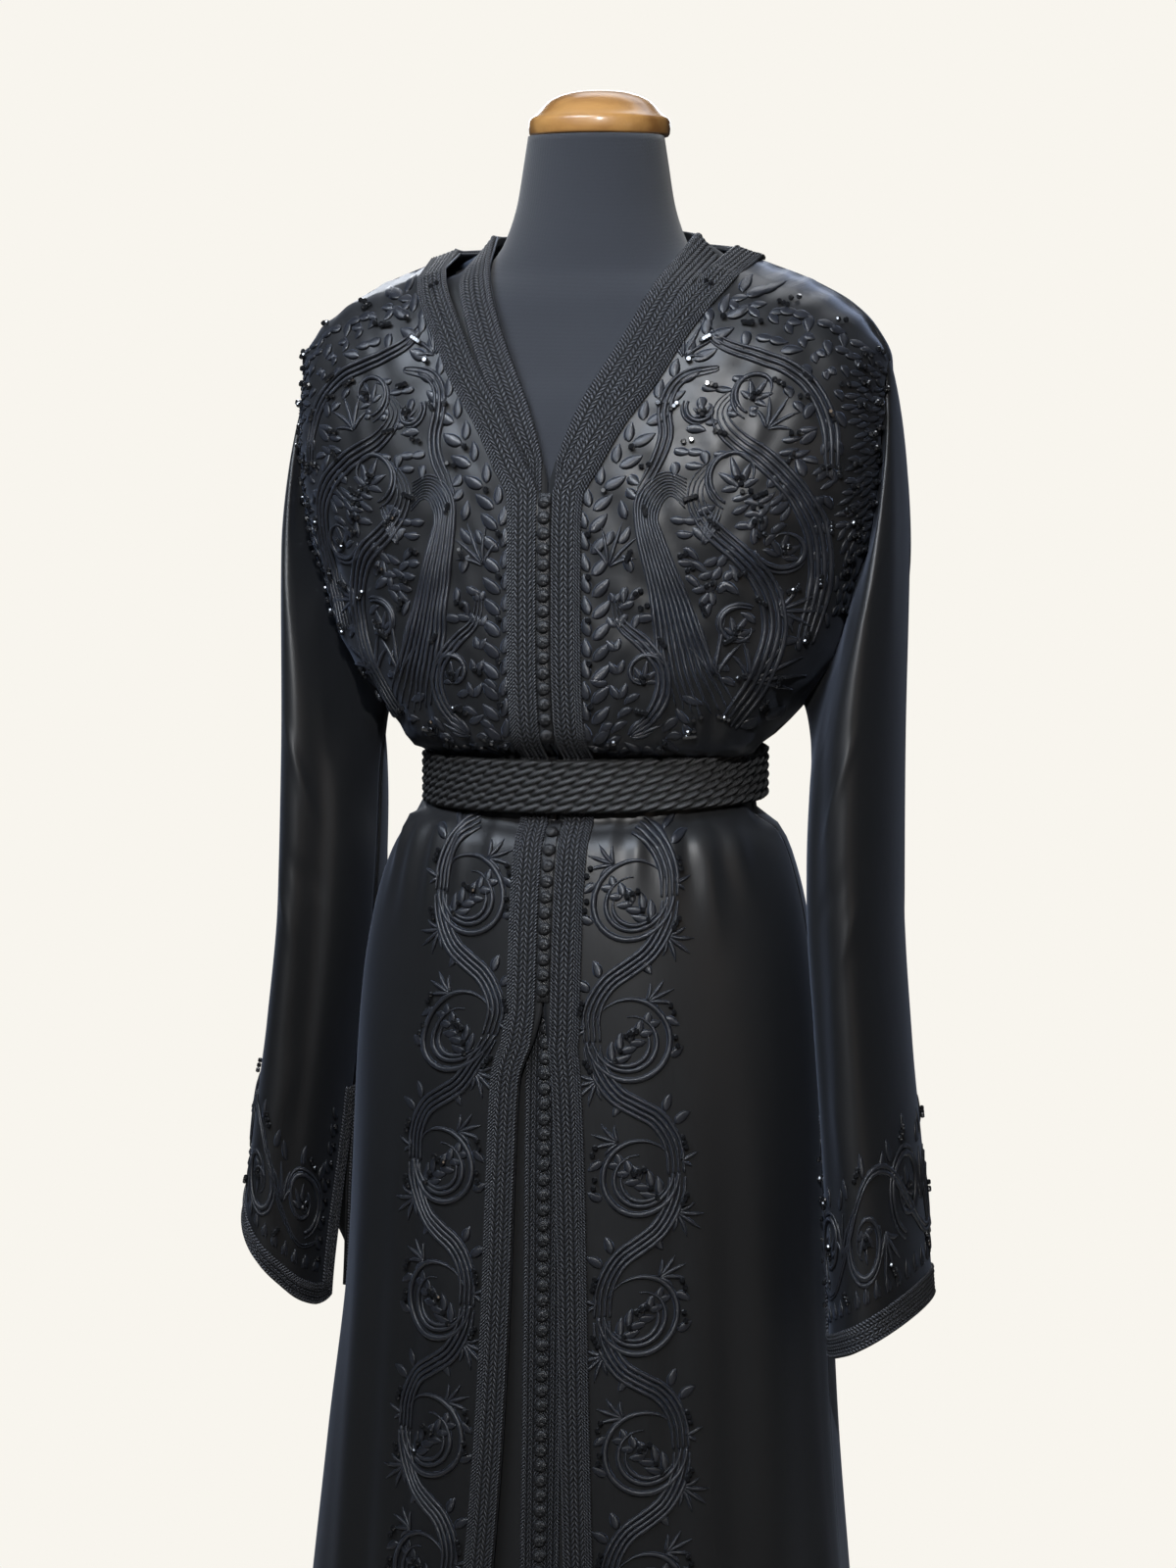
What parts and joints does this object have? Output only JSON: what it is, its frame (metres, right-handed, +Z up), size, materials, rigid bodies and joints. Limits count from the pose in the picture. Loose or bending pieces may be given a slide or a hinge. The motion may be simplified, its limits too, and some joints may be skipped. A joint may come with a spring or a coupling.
{
  "type": "takchita on dress form",
  "caption": "Floor-length two-layer formal gown with long sleeves, braided button front, corded belt and vine embroidery, on a limbless dress form with pole and base.",
  "frame": {"origin": "on the floor, midway across the whole part's width and depth", "axes": "+Z up, front of the gown towards -Y, the wearer's right side towards -X"},
  "size_m": [0.5062, 0.3938, 1.529],
  "materials": {
    "satin": "black satin with a cool sheen",
    "braid": "black herringbone braid with twisted edging cords",
    "embroidery": "black satin-stitch cording with small black beads",
    "buttons": "black silk-wrapped knot buttons",
    "belt_cord": "rows of twisted black cord",
    "form_cloth": "matt slate-grey cloth",
    "wood": "turned, golden brown, satin varnish",
    "black_steel": "black, satin"
  },
  "bodies": {
    "root": {"inner_front_left": "satin", "inner_front_right": "satin", "inner_back": "satin", "outer_front_left": "satin", "outer_front_right": "satin", "outer_back": "satin", "sleeve_left": "satin", "sleeve_right": "satin", "inner_braid_left": "braid", "inner_braid_right": "braid", "outer_braid_left": "braid", "outer_braid_right": "braid", "cuff_braid_left": "braid", "cuff_braid_right": "braid", "embroidery_skirt_left": "embroidery", "embroidery_skirt_right": "embroidery", "embroidery_bodice_left": "embroidery", "embroidery_bodice_right": "embroidery", "embroidery_cuff_left": "embroidery", "embroidery_cuff_right": "embroidery", "outer_buttons_upper": "buttons", "outer_buttons_lower": "buttons", "inner_buttons": "buttons", "belt": "belt_cord", "belt_keeper": "belt_cord", "form_torso": "form_cloth", "form_cap": "wood", "form_base": "black_steel", "form_pole": "black_steel"}
  },
  "joints": []
}
